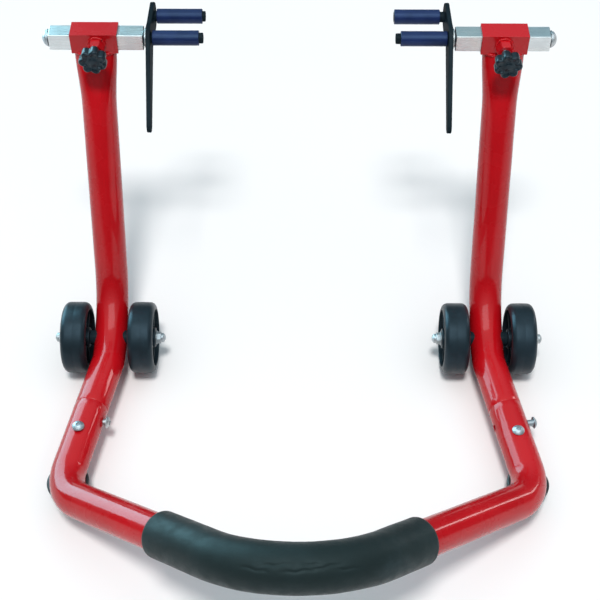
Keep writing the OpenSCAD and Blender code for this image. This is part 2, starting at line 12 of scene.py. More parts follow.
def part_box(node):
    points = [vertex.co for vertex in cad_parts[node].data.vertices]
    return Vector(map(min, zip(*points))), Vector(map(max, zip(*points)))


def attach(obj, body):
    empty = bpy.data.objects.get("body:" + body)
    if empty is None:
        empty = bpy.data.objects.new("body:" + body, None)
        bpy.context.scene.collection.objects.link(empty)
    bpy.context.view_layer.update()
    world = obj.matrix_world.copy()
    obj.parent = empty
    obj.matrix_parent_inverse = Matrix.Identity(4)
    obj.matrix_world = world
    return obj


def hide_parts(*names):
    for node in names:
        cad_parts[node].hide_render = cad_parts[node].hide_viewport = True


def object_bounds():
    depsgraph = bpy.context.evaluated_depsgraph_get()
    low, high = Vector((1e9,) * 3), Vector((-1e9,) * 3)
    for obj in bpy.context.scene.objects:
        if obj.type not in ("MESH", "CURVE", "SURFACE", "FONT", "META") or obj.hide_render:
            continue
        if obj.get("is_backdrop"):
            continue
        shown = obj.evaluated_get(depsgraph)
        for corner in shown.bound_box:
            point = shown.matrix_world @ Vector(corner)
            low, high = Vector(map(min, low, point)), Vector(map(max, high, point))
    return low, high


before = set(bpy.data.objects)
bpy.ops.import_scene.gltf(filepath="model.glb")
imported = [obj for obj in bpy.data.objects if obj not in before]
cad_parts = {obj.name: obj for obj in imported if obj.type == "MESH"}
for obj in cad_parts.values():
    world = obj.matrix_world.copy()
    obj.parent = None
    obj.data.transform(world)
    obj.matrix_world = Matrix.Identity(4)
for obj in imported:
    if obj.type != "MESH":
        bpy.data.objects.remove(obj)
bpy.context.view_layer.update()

MM = 0.001
SIDES = (("left", -1), ("right", 1))

# ---------------------------------------------------------------- sizes shared with the CAD, mm and degrees
TUBE_R = 20.0
TUBE_WALL = 2.0
CORNER_X = 266.0
CORNER_REACH = 221.0
BOW_SLOPE = 39.0
LEG_ANGLE = 45.0
BOW_BEND_R = 123.0
CORNER_BEND_R = 55.0
ARM_Z = 37.0
ARM_SPLAY = 10.0
SEAM_REACH = 103.0
SPLAY_BEND_R = 60.0
UPRIGHT_X = 232.5
UPRIGHT_LEAN = 23.0
UPRIGHT_BEND_R = 100.0
FLAT_LEN = 70.0
FLAT_W = 48.0
FLAT_D = 25.0
PIVOT_Y = 174.0
PIVOT_Z = 366.0
SOCKET_SIZE = 25.0
GRIP_R = 25.5
GRIP_RIGHT = 151.0
GRIP_LEFT = 173.0
TOP_SCREW = {-1: 43.0, 1: 45.0}
SIDE_SCREW = {-1: 17.0, 1: 24.0}
SCREW_HOLE_R = 4.1
BUSH_HOLE_R = 8.85
AXLE_Z = 44.0
CUT_REACH = 30.0

# ---------------------------------------------------------------- sizes of details that only show, mm
SEAM_GROOVE = 0.35
SEAM_STEP = 0.8
SOCKET_WELD_R = 1.9
NUT_WELD_R = 1.5


def cad_box(node):
    """Lowest and highest corner of a CAD node in millimetres."""
    low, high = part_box(node)
    return low / MM, high / MM


def cad_middle(node):
    low, high = cad_box(node)
    return (low + high) / 2


# The wheel axle's Y in the row frame, which the sizes above are measured from
AXLE_Y = cad_middle("left_axle").y
ROOT = "root"


# ---------------------------------------------------------------- tube paths
class Frame:
    """A place on a run of tube: position, two directions across it, and the direction it heads in."""

    def __init__(self, at, across, up, heading):
        self.at, self.across, self.up, self.heading = (Vector(v) for v in (at, across, up, heading))

    def ahead(self, length):
        return Frame(self.at + length * self.heading, self.across, self.up, self.heading)

    def bent(self, angle, radius, roll):
        """The frame after a bend of angle degrees towards the direction that roll names."""
        a, b = math.radians(angle), math.radians(roll)
        to = math.cos(b) * self.across + math.sin(b) * self.up
        turn = Matrix.Rotation(a, 3, self.heading.cross(to))
        at = self.at + radius * (1 - math.cos(a)) * to + radius * math.sin(a) * self.heading
        return Frame(at, turn @ self.across, turn @ self.up, turn @ self.heading)


def run_frames(start, steps, per_bend=1.5, per_length=8.0):
    """Frames along steps, each a straight (length,) or a bend (angle, radius, roll)."""
    frames = [start]
    for step in steps:
        here = frames[-1]
        if len(step) == 1:
            n = max(1, math.ceil(step[0] / per_length))
            frames += [here.ahead(step[0] * k / n) for k in range(1, n + 1)]
        else:
            n = max(1, math.ceil(step[0] / per_bend))
            frames += [here.bent(step[0] * k / n, step[1], step[2]) for k in range(1, n + 1)]
    return frames


def mirrored(f):
    """The same place on the left half, with the frame kept right-handed and heading the other way."""
    flip = lambda v: Vector((-v.x, v.y, v.z))
    return Frame(flip(f.at), flip(f.across), flip(f.up), flip(f.heading))


def ring(f, r, spread=0.0, sides=64):
    points = []
    for k in range(sides):
        a = 2 * math.pi * k / sides
        c = math.cos(a)
        shift = spread * (0 if abs(c) < 1e-6 else math.copysign(1, c))
        points.append(f.at + (r * c + shift) * f.across + r * math.sin(a) * f.up)
    return points


cosd = lambda a: math.cos(math.radians(a))
sind = lambda a: math.sin(math.radians(a))
tand = lambda a: math.tan(math.radians(a))

bow_apex = CORNER_X * tand(LEG_ANGLE) - BOW_BEND_R * (1 / cosd(LEG_ANGLE) - 1)
apex = Vector((0, AXLE_Y - CORNER_REACH - bow_apex * cosd(BOW_SLOPE), ARM_Z + bow_apex * sind(BOW_SLOPE)))
bow_back = Vector((0, cosd(BOW_SLOPE), -sind(BOW_SLOPE)))
bow_up = Vector((0, sind(BOW_SLOPE), cosd(BOW_SLOPE)))
apex_frame = Frame(apex, bow_back, bow_up, (1, 0, 0))
leg_dir = cosd(LEG_ANGLE) * Vector((1, 0, 0)) + sind(LEG_ANGLE) * bow_back
leg_side = cosd(LEG_ANGLE) * bow_back - sind(LEG_ANGLE) * Vector((1, 0, 0))
arm_dir = Vector((-sind(ARM_SPLAY), cosd(ARM_SPLAY), 0))
corner_turn = math.degrees(leg_dir.angle(arm_dir))
corner_roll = math.degrees(math.atan2(arm_dir.dot(bow_up), arm_dir.dot(leg_side)))
corner_cut = CORNER_BEND_R * tand(corner_turn / 2)
leg_len = CORNER_X / cosd(LEG_ANGLE) - BOW_BEND_R * tand(LEG_ANGLE) - corner_cut
arm_len = (CORNER_REACH - SEAM_REACH) / cosd(ARM_SPLAY) - corner_cut
MIDDLE_BEND = (LEG_ANGLE, BOW_BEND_R, 0)
handle_steps = [
    MIDDLE_BEND,
    (leg_len,),
    (corner_turn, CORNER_BEND_R, corner_roll),
    (arm_len - SEAM_STEP,),
    (SEAM_STEP,),
]

seam_x = CORNER_X - (CORNER_REACH - SEAM_REACH) * tand(ARM_SPLAY)
seam = Frame((seam_x, AXLE_Y - SEAM_REACH, ARM_Z), (cosd(ARM_SPLAY), sind(ARM_SPLAY), 0), (0, 0, -1), arm_dir)
splay_cut = SPLAY_BEND_R * tand(ARM_SPLAY / 2)
splay_y = -SEAM_REACH + (seam_x - UPRIGHT_X) / tand(ARM_SPLAY)
turn_up = 90 - UPRIGHT_LEAN
turn_cut = UPRIGHT_BEND_R * tand(turn_up / 2)
socket_bottom = PIVOT_Z - SOCKET_SIZE / 2
vertex_y = PIVOT_Y - (socket_bottom - ARM_Z) * tand(UPRIGHT_LEAN)
upright_len = (socket_bottom - ARM_Z) / cosd(UPRIGHT_LEAN)
upright_steps = [
    (SEAM_STEP,),
    ((splay_y + SEAM_REACH) / cosd(ARM_SPLAY) - splay_cut - SEAM_STEP,),
    (ARM_SPLAY, SPLAY_BEND_R, 0),
    (vertex_y - splay_y - splay_cut - turn_cut,),
    (turn_up, UPRIGHT_BEND_R, -90),
    (upright_len - turn_cut - FLAT_LEN,),
]


# ---------------------------------------------------------------- mesh helpers
def add(name, data):
    """A new object of the scene."""
    obj = bpy.data.objects.new(name, data)
    bpy.context.scene.collection.objects.link(obj)
    return obj


def round_normals(obj):
    """Shading that keeps large flat faces flat up to their rounded edges."""
    weigh = obj.modifiers.new("weigh", "WEIGHTED_NORMAL")
    weigh.keep_sharp = True


def to_object(name, verts, faces, material, body, sharp=35.0):
    """A smooth-shaded object from points in mm, riding on a CAD body. Edges over sharp degrees stay sharp."""
    mesh = bpy.data.meshes.new(name)
    mesh.from_pydata([Vector(v) * MM for v in verts], [], faces)
    return finish_object(name, mesh, material, body, sharp)


def finish_object(name, mesh, material, body, sharp=35.0):
    bm = bmesh.new()
    bm.from_mesh(mesh)
    bmesh.ops.remove_doubles(bm, verts=bm.verts, dist=1e-6)
    bmesh.ops.recalc_face_normals(bm, faces=bm.faces)
    limit = math.radians(sharp)
    for face in bm.faces:
        face.smooth = True
    for edge in bm.edges:
        edge.smooth = not edge.is_manifold or edge.calc_face_angle(0) < limit
    bm.to_mesh(mesh)
    bm.free()
    obj = add(name, mesh)
    mesh.materials.append(material)
    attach(obj, body)
    return obj


def bands(rings, closed=False, caps=False):
    """Points and faces of a surface through rings of equal length."""
    n = len(rings[0])
    verts = [p for r in rings for p in r]
    faces = []
    for i in range(len(rings) if closed else len(rings) - 1):
        a, b = i * n, ((i + 1) % len(rings)) * n
        faces += [(a + j, a + (j + 1) % n, b + (j + 1) % n, b + j) for j in range(n)]
    if caps:
        faces += [tuple(range(n - 1, -1, -1)), tuple(range(len(verts) - n, len(verts)))]
    return verts, faces


def rounded(corners, step=15.0):
    """A chain of points through corners (u, v, fillet radius), each fillet a run of short chords."""
    points = []
    for i, (u, v, r) in enumerate(corners):
        here = Vector((u, v))
        if r <= 0 or i in (0, len(corners) - 1):
            points.append(here)
            continue
        before = (Vector(corners[i - 1][:2]) - here).normalized()
        after = (Vector(corners[i + 1][:2]) - here).normalized()
        inside = before.angle(after)
        cut = r / math.tan(inside / 2)
        centre = here + (before + after).normalized() * (r / math.sin(inside / 2))
        start, end = here + before * cut - centre, here + after * cut - centre
        n = max(2, math.ceil(math.degrees(math.pi - inside) / step))
        total = start.angle_signed(end)
        points += [centre + Matrix.Rotation(-total * k / n, 2) @ start for k in range(n + 1)]
    return points


def lathe(profile, origin, axis, across, sides=96, closed=False):
    """Rings of a turned body. profile holds (radius, height along axis)."""
    axis, across = Vector(axis).normalized(), Vector(across).normalized()
    third = axis.cross(across)
    rings = []
    for p in profile:
        rings.append([
            Vector(origin) + p[1] * axis
            + p[0] * (math.cos(2 * math.pi * k / sides) * across + math.sin(2 * math.pi * k / sides) * third)
            for k in range(sides)
        ])
    return bands(rings, closed)


def cut(obj, cutters):
    """Removes cylinders (start, end, radius) in mm from an object."""
    bm = bmesh.new()
    for start, end, radius in cutters:
        start, end = Vector(start), Vector(end)
        along = (end - start).normalized()
        across = along.orthogonal().normalized()
        verts, faces = lathe([(radius, 0), (radius, (end - start).length)], start, along, across, 40)
        made = [bm.verts.new(v * MM) for v in verts]
        for f in faces:
            bm.faces.new([made[k] for k in f])
        for k in (0, 40):
            bm.faces.new(made[k:k + 40])
    bmesh.ops.recalc_face_normals(bm, faces=bm.faces)
    mesh = bpy.data.meshes.new("cutters")
    bm.to_mesh(mesh)
    bm.free()
    tool = add("cutters", mesh)
    mod = obj.modifiers.new("cut", "BOOLEAN")
    mod.operation, mod.object, mod.solver = "DIFFERENCE", tool, "EXACT"
    deps = bpy.context.evaluated_depsgraph_get()
    result = bpy.data.meshes.new_from_object(obj.evaluated_get(deps))
    obj.modifiers.clear()
    obj.data = result
    bpy.data.objects.remove(tool)


def refined(node, body, material, width, sharp=30.0, segments=3, open_ends=False):
    """A copy of a CAD node with its sharp edges rounded off by width mm, which stands for that node.

    open_ends keeps the triangles of the ring faces at the two ends of a tube along X.
    """
    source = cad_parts[node]
    bm = bmesh.new()
    bm.from_mesh(source.data)
    bmesh.ops.remove_doubles(bm, verts=bm.verts, dist=2e-6)
    along_x = 0.99
    flat = [e for e in bm.edges
            if not (open_ends and all(abs(f.normal.x) > along_x for f in e.link_faces))]
    bmesh.ops.dissolve_limit(
        bm, angle_limit=math.radians(0.6), verts=bm.verts, edges=flat, delimit={"NORMAL"})
    limit = math.radians(sharp)
    edges = [e for e in bm.edges if e.is_manifold and e.calc_face_angle(0) > limit]
    if width:
        bmesh.ops.bevel(bm, geom=edges, offset=width * MM, offset_type="OFFSET", segments=segments,
                        profile=0.5, affect="EDGES", clamp_overlap=True, loop_slide=True)
    for face in bm.faces:
        face.smooth = True
    for edge in bm.edges:
        edge.smooth = not edge.is_manifold or edge.calc_face_angle(0) < math.radians(32)
    mesh = bpy.data.meshes.new(node + "_skin")
    bm.to_mesh(mesh)
    bm.free()
    obj = add(node + "_skin", mesh)
    mesh.materials.append(material)
    round_normals(obj)
    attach(obj, body)
    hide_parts(node)
    return obj


# ---------------------------------------------------------------- materials
class Shader:
    """A procedural material on object coordinates, which are metres in the row frame."""

    def __init__(self, name, **sockets):
        self.material = bpy.data.materials.new(name)
        self.material.use_nodes = True
        self.tree = self.material.node_tree
        self.bsdf = self.tree.nodes["Principled BSDF"]
        self.coords = self.tree.nodes.new("ShaderNodeTexCoord").outputs["Object"]
        for key, value in sockets.items():
            self.bsdf.inputs[key.replace("_", " ")].default_value = value

    def node(self, kind, **settings):
        made = self.tree.nodes.new(kind)
        for key, value in settings.items():
            setattr(made, key, value)
        return made

    def link(self, a, b):
        self.tree.links.new(a, b)

    def noise(self, scale, detail=4.0, roughness=0.55, stretch=(1, 1, 1)):
        """Noise with about scale bumps per metre along each axis times stretch."""
        mapping = self.node("ShaderNodeMapping")
        mapping.inputs["Scale"].default_value = stretch
        self.link(self.coords, mapping.inputs["Vector"])
        made = self.node("ShaderNodeTexNoise")
        made.inputs["Scale"].default_value = scale
        made.inputs["Detail"].default_value = detail
        made.inputs["Roughness"].default_value = roughness
        self.link(mapping.outputs["Vector"], made.inputs["Vector"])
        return made.outputs["Fac"]

    def spread(self, value, low, high, start=0.3, stop=0.7):
        """value between start and stop, mapped to low and high."""
        made = self.node("ShaderNodeMapRange", interpolation_type="SMOOTHSTEP")
        self.link(value, made.inputs["Value"])
        for key, number in (("From Min", start), ("From Max", stop), ("To Min", low), ("To Max", high)):
            made.inputs[key].default_value = number
        return made.outputs["Result"]

    def blend(self, value, first, second):
        """A colour that goes from first to second; each is a colour or another blend."""
        made = self.node("ShaderNodeMix", data_type="RGBA")
        self.link(value, made.inputs["Factor"])
        for key, colour in (("A", first), ("B", second)):
            socket = next(s for s in made.inputs if s.name == key and s.type == "RGBA")
            if isinstance(colour, tuple):
                socket.default_value = (*colour, 1)
            else:
                self.link(colour, socket)
        return next(s for s in made.outputs if s.type == "RGBA")

    def colour(self, value):
        self.link(value, self.bsdf.inputs["Base Color"])

    def rough(self, value):
        self.link(value, self.bsdf.inputs["Roughness"])

    def bump(self, *layers):
        """Bumps from (height, depth in mm) layers, one on the other."""
        normal = None
        for height, depth in layers:
            made = self.node("ShaderNodeBump")
            made.inputs["Distance"].default_value = depth * MM
            self.link(height, made.inputs["Height"])
            if normal is not None:
                self.link(normal, made.inputs["Normal"])
            normal = made.outputs["Normal"]
        self.link(normal, self.bsdf.inputs["Normal"])


def srgb(r, g, b):
    """Linear colour of an sRGB colour in 0 to 255."""
    return tuple(((c / 255 + 0.055) / 1.055) ** 2.4 if c > 10 else c / 255 / 12.92 for c in (r, g, b))


def make_red():
    s = Shader("red_powder_coat", Coat_Weight=0.42, Coat_Roughness=0.03, Coat_IOR=1.5,
               Specular_IOR_Level=0.12)
    cloud = s.spread(s.noise(9, 2), 0, 1)
    base = s.blend(cloud, srgb(172, 11, 20), srgb(186, 15, 25))
    scuff = s.spread(s.noise(60, 6, 0.7, (1, 1, 0.2)), 0, 0.25, 0.66, 0.74)
    s.colour(s.blend(scuff, base, srgb(150, 16, 26)))
    s.rough(s.spread(s.noise(30, 5), 0.2, 0.34))
    s.bump((s.noise(330, 2), 0.05), (s.noise(60, 3), 0.12))
    return s.material


def make_foam():
    s = Shader("black_foam", Specular_IOR_Level=0.2, Specular_Tint=(0.75, 0.92, 0.95, 1),
               Sheen_Weight=0.04, Sheen_Roughness=0.5, Sheen_Tint=(0.5, 0.6, 0.6, 1))
    cloud = s.spread(s.noise(14, 3), 0, 1)
    base = s.blend(cloud, srgb(24, 35, 36), srgb(30, 43, 45))
    rub = s.spread(s.noise(26, 6, 0.65, (0.35, 1, 1)), 0, 0.5, 0.52, 0.75)
    s.colour(s.blend(rub, base, srgb(43, 58, 63)))
    s.rough(s.spread(s.noise(90, 4), 0.42, 0.58))
    s.bump((s.noise(1500, 2), 0.12), (s.noise(400, 4, 0.6), 0.15), (s.noise(36, 3, 0.5, (0.3, 1, 1)), 0.5))
    return s.material


def make_zinc(name="zinc_plate", tint=(0.66, 0.7, 0.71), grain=(0.02, 1, 1), roughness=(0.24, 0.4)):
    s = Shader(name, Metallic=1.0)
    low, high = roughness
    cloud = s.spread(s.noise(45, 4), 0, 1)
    warm = s.spread(s.noise(22, 3), 0, 0.45, 0.45, 0.7)
    base = s.blend(cloud, tuple(0.86 * c for c in tint), tint)
    s.colour(s.blend(warm, base, (0.72, 0.69, 0.64)))
    s.rough(s.spread(s.noise(700, 5, 0.6, grain), low, high))
    s.bump((s.noise(900, 4, 0.6, grain), 0.008), (s.noise(120, 3), 0.012))
    return s.material


def make_black_paint():
    s = Shader("black_paint", Specular_IOR_Level=0.0, Coat_Weight=0.07, Coat_Roughness=0.2)
    cloud = s.spread(s.noise(25, 3), 0, 1)
    s.colour(s.blend(cloud, srgb(19, 30, 36), srgb(30, 43, 50)))
    s.rough(s.spread(s.noise(80, 4), 0.42, 0.58))
    s.bump((s.noise(420, 2), 0.04), (s.noise(90, 3), 0.08))
    return s.material


def make_knob_plastic():
    s = Shader("black_moulded_plastic", Specular_IOR_Level=0.35, Specular_Tint=(0.6, 0.85, 1.0, 1),
               Coat_Weight=0.12, Coat_Roughness=0.12)
    cloud = s.spread(s.noise(60, 3), 0, 1)
    s.colour(s.blend(cloud, srgb(11, 20, 26), srgb(19, 31, 39)))
    s.rough(s.spread(s.noise(160, 4), 0.26, 0.42))
    s.bump((s.noise(900, 3), 0.03), (s.noise(200, 3), 0.05))
    return s.material


def make_rubber():
    s = Shader("black_rubber", Specular_IOR_Level=0.45)
    cloud = s.spread(s.noise(40, 4), 0, 1)
    dust = s.spread(s.noise(120, 6, 0.7), 0, 0.4, 0.55, 0.75)
    base = s.blend(cloud, srgb(22, 25, 28), srgb(32, 36, 39))
    s.colour(s.blend(dust, base, srgb(58, 60, 60)))
    s.rough(s.spread(s.noise(200, 4), 0.36, 0.56))
    s.bump((s.noise(1200, 3), 0.05), (s.noise(160, 3), 0.08))
    return s.material


def make_wheel_plastic():
    s = Shader("wheel_plastic", Specular_IOR_Level=0.3, Specular_Tint=(0.55, 0.8, 1.0, 1))
    cloud = s.spread(s.noise(24, 4), 0, 1)
    dust = s.spread(s.noise(80, 6, 0.75), 0, 0.35, 0.55, 0.78)
    base = s.blend(cloud, srgb(22, 32, 37), srgb(29, 41, 48))
    s.colour(s.blend(dust, base, srgb(50, 66, 76)))
    s.rough(s.spread(s.noise(70, 5, 0.6), 0.3, 0.44))
    s.bump((s.noise(1300, 3), 0.03), (s.noise(170, 4), 0.06))
    return s.material


def make_roller_plastic():
    s = Shader("navy_roller_plastic", Specular_IOR_Level=0.35, Specular_Tint=(0.45, 0.75, 1.0, 1),
               Coat_Weight=0.05, Coat_Roughness=0.15)
    cloud = s.spread(s.noise(50, 4), 0, 1)
    rub = s.spread(s.noise(90, 6, 0.7, (0.15, 1, 1)), 0, 0.4, 0.58, 0.74)
    base = s.blend(cloud, srgb(20, 32, 72), srgb(28, 42, 88))
    s.colour(s.blend(rub, base, srgb(58, 74, 120)))
    s.rough(s.spread(s.noise(300, 4, 0.6, (0.1, 1, 1)), 0.3, 0.46))
    s.bump((s.noise(1100, 3, 0.5, (0.05, 1, 1)), 0.03), (s.noise(200, 3), 0.04))
    return s.material


def make_bare_steel():
    s = Shader("bare_steel", Metallic=1.0)
    cloud = s.spread(s.noise(60, 5), 0, 1)
    s.colour(s.blend(cloud, (0.36, 0.35, 0.34), (0.52, 0.51, 0.5)))
    s.rough(s.spread(s.noise(250, 4), 0.35, 0.55))
    s.bump((s.noise(700, 4), 0.03))
    return s.material


def make_floor():
    s = Shader("studio_floor", Specular_IOR_Level=0.0)
    s.colour(s.blend(s.spread(s.noise(1.5, 2), 0, 1), (0.86, 0.86, 0.865), (0.88, 0.88, 0.885)))
    s.rough(s.spread(s.noise(4, 3), 0.6, 0.7))
    s.bump((s.noise(300, 2), 0.02))
    return s.material


RED = make_red()
FOAM = make_foam()
ZINC = make_zinc()
ZINC_SMALL = make_zinc("zinc_fastener", (0.44, 0.49, 0.52), (1, 1, 1), (0.36, 0.56))
BLACK = make_black_paint()
KNOB = make_knob_plastic()
RUBBER = make_rubber()
WHEEL = make_wheel_plastic()
ROLLER = make_roller_plastic()
STEEL = make_bare_steel()


# ---------------------------------------------------------------- frame tubes
def hollow(outer, inner):
    """Points and faces of a tube with a wall: out along one list of rings and back along the other."""
    return bands(outer + inner[::-1], closed=True)


def screw_cutters(side):
    """Cutters for the top and side screws of a joint."""
    f = seam if side > 0 else mirrored(seam)
    outer_x = Vector((side, 0, 0))
    cutters = []
    for back, out in ((TOP_SCREW[side], Vector((0, 0, 1))), (SIDE_SCREW[side], None)):
        at = f.at - back * f.heading
        out = out or (outer_x - outer_x.dot(f.heading) * f.heading).normalized()
        cutters.append((at - CUT_REACH * out, at + CUT_REACH * out, SCREW_HOLE_R))
    return cutters


def build_handle():
    half = run_frames(apex_frame, handle_steps)
    outer, inner = [], []
    for sign in (-1, 1):
        frames = half if sign > 0 else [mirrored(f) for f in half[:0:-1]]
        for i, f in enumerate(frames):
            at_end = i == len(frames) - 1 if sign > 0 else i == 0
            outer.append(ring(f, TUBE_R - (SEAM_GROOVE if at_end else 0)))
            inner.append(ring(f, TUBE_R - TUBE_WALL))
    obj = to_object("handle_tube_skin", *hollow(outer, inner), RED, ROOT)
    cut(obj, screw_cutters(-1) + screw_cutters(1))
    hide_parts("handle_tube")


def upright_outline(wall, sides=64):
    """Rings of the right upright: round, then wider and shallower, then cut level at the top."""
    frames = run_frames(seam, upright_steps)
    top = frames[-1]
    spread = (FLAT_W - FLAT_D) / 2
    rings = [ring(f, TUBE_R - wall - (SEAM_GROOVE if i == 0 and not wall else 0))
             for i, f in enumerate(frames)]
    steps = 18
    for k in range(1, steps + 1):
        t = k / steps
        mix = (1 - math.cos(math.pi * t)) / 2
        r = TUBE_R + (FLAT_D / 2 - TUBE_R) * mix - wall
        points = ring(top.ahead(FLAT_LEN * t), r, spread * mix)
        if k == steps:
            points = [p + top.heading * (socket_bottom - p.z) / top.heading.z for p in points]
        rings.append(points)
    return rings


def flip_x(rings):
    return [[Vector((-p.x, p.y, p.z)) for p in r] for r in rings]


def weld_bead(name, path, radius, body, closed=True, ripple=0.22, pitch=2.6):
    """A rippled bead of weld along a path of points in mm."""
    points = [Vector(p) for p in path]
    dense, run = [], 0.0
    n = len(points)
    for i in range(n if closed else n - 1):
        a, b = points[i], points[(i + 1) % n]
        count = max(1, math.ceil((b - a).length / 0.45))
        dense += [a.lerp(b, k / count) for k in range(count)]
    if not closed:
        dense.append(points[-1])
    rings = []
    for i, p in enumerate(dense):
        ahead = dense[(i + 1) % len(dense)] if closed else dense[min(i + 1, len(dense) - 1)]
        back = dense[i - 1] if closed or i else dense[0]
        heading = (ahead - back).normalized()
        across = heading.orthogonal().normalized()
        up = heading.cross(across)
        wobble = noise.noise(p * 0.35)
        r = radius * (1 + ripple * (abs(math.sin(math.pi * run / pitch)) - 0.5) + 0.18 * wobble)
        rings.append([p + r * (math.cos(a) * across + math.sin(a) * up)
                      for a in (2 * math.pi * k / 12 for k in range(12))])
        run += (ahead - p).length
    return to_object(name, *bands(rings, closed, caps=not closed), RED, body, 80)


def build_uprights():
    outer, inner = upright_outline(0), upright_outline(TUBE_WALL)
    for side, sign in SIDES:
        a, b = (outer, inner) if sign > 0 else (flip_x(outer), flip_x(inner))
        obj = to_object(f"{side}_upright_skin", *hollow(a, b), RED, ROOT)
        x = sign * UPRIGHT_X
        cut(obj, [((x - CUT_REACH, AXLE_Y, AXLE_Z), (x + CUT_REACH, AXLE_Y, AXLE_Z), BUSH_HOLE_R)])
        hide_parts(f"{side}_upright")
        sunk = Vector((0, 0, 0.2))
        weld_bead(f"{side}_socket_weld", [p - sunk for p in a[-1]], SOCKET_WELD_R, ROOT)


build_handle()
build_uprights()


# ---------------------------------------------------------------- foam grip
def build_grip():
    """The foam sleeve: rounded ends, soft waves, folds inside the bend and worn creases on top."""
    step = 1.5
    # creases on the side that faces up and out: middle along and around, half length, tilt
    worn = ((-34, 3, 11, 0.1), (-16, -3, 12, -0.14), (2, 2.5, 13, -0.1), (10, -4, 9, 0.12),
            (24, -1, 12, -0.16), (41, 3, 9, 0.08))
    worn_at, worn_depth, worn_width = math.radians(158), 0.85, 1.3
    halves = []
    for length in (GRIP_LEFT, GRIP_RIGHT):
        straight = length - BOW_BEND_R * math.radians(LEG_ANGLE)
        halves.append(run_frames(apex_frame, [MIDDLE_BEND, (straight,)], 0.7, step))
    left = [mirrored(f) for f in halves[0][:0:-1]]
    frames = left + halves[1]
    total = [0.0]
    for a, b in zip(frames, frames[1:]):
        total.append(total[-1] + (b.at - a.at).length)
    length, sides, edge = total[-1], 160, 5.0
    inner_r = TUBE_R + 0.15
    outer, inner = [], []

    def groove(along, around):
        depth = 0
        for at, side, half, tilt in worn:
            off = around - side - tilt * (along - at) - 0.7 * math.sin(0.45 * along + at)
            depth += math.exp(-(off / worn_width) ** 2 - ((along - at) / half) ** 4)
        return worn_depth * depth

    def skin(f, s, trim):
        points = []
        for k in range(sides):
            a = 2 * math.pi * k / sides
            out = math.cos(a) * f.across + math.sin(a) * f.up
            p = f.at + GRIP_R * out
            wave = 0.35 * noise.noise(p * 0.022) + 0.16 * noise.noise(p * 0.06)
            inside = max(0.0, math.cos(a)) ** 2
            middle = math.exp(-((s - GRIP_LEFT) / 60) ** 2)
            crease = 0.3 * inside * middle * math.sin(s * 0.62 + 1.5 * noise.noise(p * 0.04))
            if abs(s - GRIP_LEFT) < 60 and abs(a - worn_at) < 0.6:
                crease -= groove(s - GRIP_LEFT, GRIP_R * (a - worn_at))
            r = GRIP_R - 0.45 - trim + wave + crease
            points.append(f.at + max(inner_r + 0.2, min(GRIP_R - 0.02, r)) * out)
        return points

    for f, s in zip(frames, total):
        near = min(s, length - s)
        trim = 0.0 if near > edge else edge - math.sqrt(max(0, edge * edge - (edge - near) ** 2))
        outer.append(skin(f, s, trim))
        inner.append([f.at + inner_r * (math.cos(a) * f.across + math.sin(a) * f.up)
                      for a in (2 * math.pi * k / sides for k in range(sides))])
    obj = to_object("foam_grip_sleeve", *hollow(outer, inner), FOAM, ROOT, 70)
    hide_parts("foam_grip")


build_grip()


# ---------------------------------------------------------------- wheels
BOX_FACES = ((0, 1, 3, 2), (4, 6, 7, 5), (0, 4, 5, 1), (2, 3, 7, 6), (1, 5, 7, 3), (0, 2, 6, 4))


def build_wheels():
    """Moulded wheels: crowned tread with a parting line, thin rims, recessed and ribbed webs, a hub."""
    for node in ("left_outer_wheel", "left_inner_wheel", "right_inner_wheel", "right_outer_wheel"):
        low, high = cad_box(node)
        r, w = (high.z - low.z) / 2, high.x - low.x
        hub, bore, rim, web = 12.0, 4.15, r - 8.8, 10.8
        half = rounded([
            (bore, w / 2, 0), (bore, 0.0, 0.6), (hub, 0.0, 1.2), (hub + 0.8, web, 2.0),
            (rim - 0.6, web, 2.5), (rim, 0.1, 0.7), (r - 0.35, 0.1, 7.2), (r, w / 2, 0),
        ], 8)
        other = [Vector((p[0], w - p[1])) for p in half[-2:0:-1]]
        line = [Vector((r - 0.06, w / 2 - 0.4)), Vector((r - 0.12, w / 2)), Vector((r - 0.06, w / 2 + 0.4))]
        profile = half[:-1] + line + other
        middle = (low + high) / 2
        verts, faces = lathe(profile, (low.x, middle.y, middle.z), (1, 0, 0), (0, 1, 0), 144, closed=True)
        obj = to_object(f"{node}_skin", verts, faces, WHEEL, node, 28)
        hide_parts(node)
        # thin ribs across the recess on both sides, from the hub to the rim
        ribs_a_side, first_rib, half_rib, rib_inset = 6, 15, 0.9, 3.5
        rib_verts, rib_faces = [], []
        for face_x, out in ((low.x, 1), (high.x, -1)):
            for k in range(ribs_a_side):
                a = math.radians(360 / ribs_a_side * k + first_rib)
                radial = Vector((0, math.cos(a), math.sin(a)))
                thick = Vector((0, -math.sin(a), math.cos(a))) * half_rib
                x0, x1 = face_x + out * rib_inset, face_x + out * (web + 0.5)
                box = []
                for x in (x0, x1):
                    for rr in (hub + 0.2, rim + 0.3):
                        for s in (-1, 1):
                            box.append(Vector((x, middle.y, middle.z)) + radial * rr + s * thick)
                b = len(rib_verts)
                rib_verts += box
                rib_faces += [tuple(b + i for i in f) for f in BOX_FACES]
        ribs = to_object(f"{node}_ribs", rib_verts, rib_faces, WHEEL, node, 28)
        soften(ribs, 0.35)


def soften(obj, width, segments=2):
    """Rounds an object's sharp edges by width mm."""
    bm = bmesh.new()
    bm.from_mesh(obj.data)
    edges = [e for e in bm.edges if e.is_manifold and e.calc_face_angle(0) > math.radians(35)]
    bmesh.ops.bevel(bm, geom=edges, offset=width * MM, segments=segments, profile=0.5, affect="EDGES")
    for face in bm.faces:
        face.smooth = True
    bm.to_mesh(obj.data)
    bm.free()
    round_normals(obj)


build_wheels()


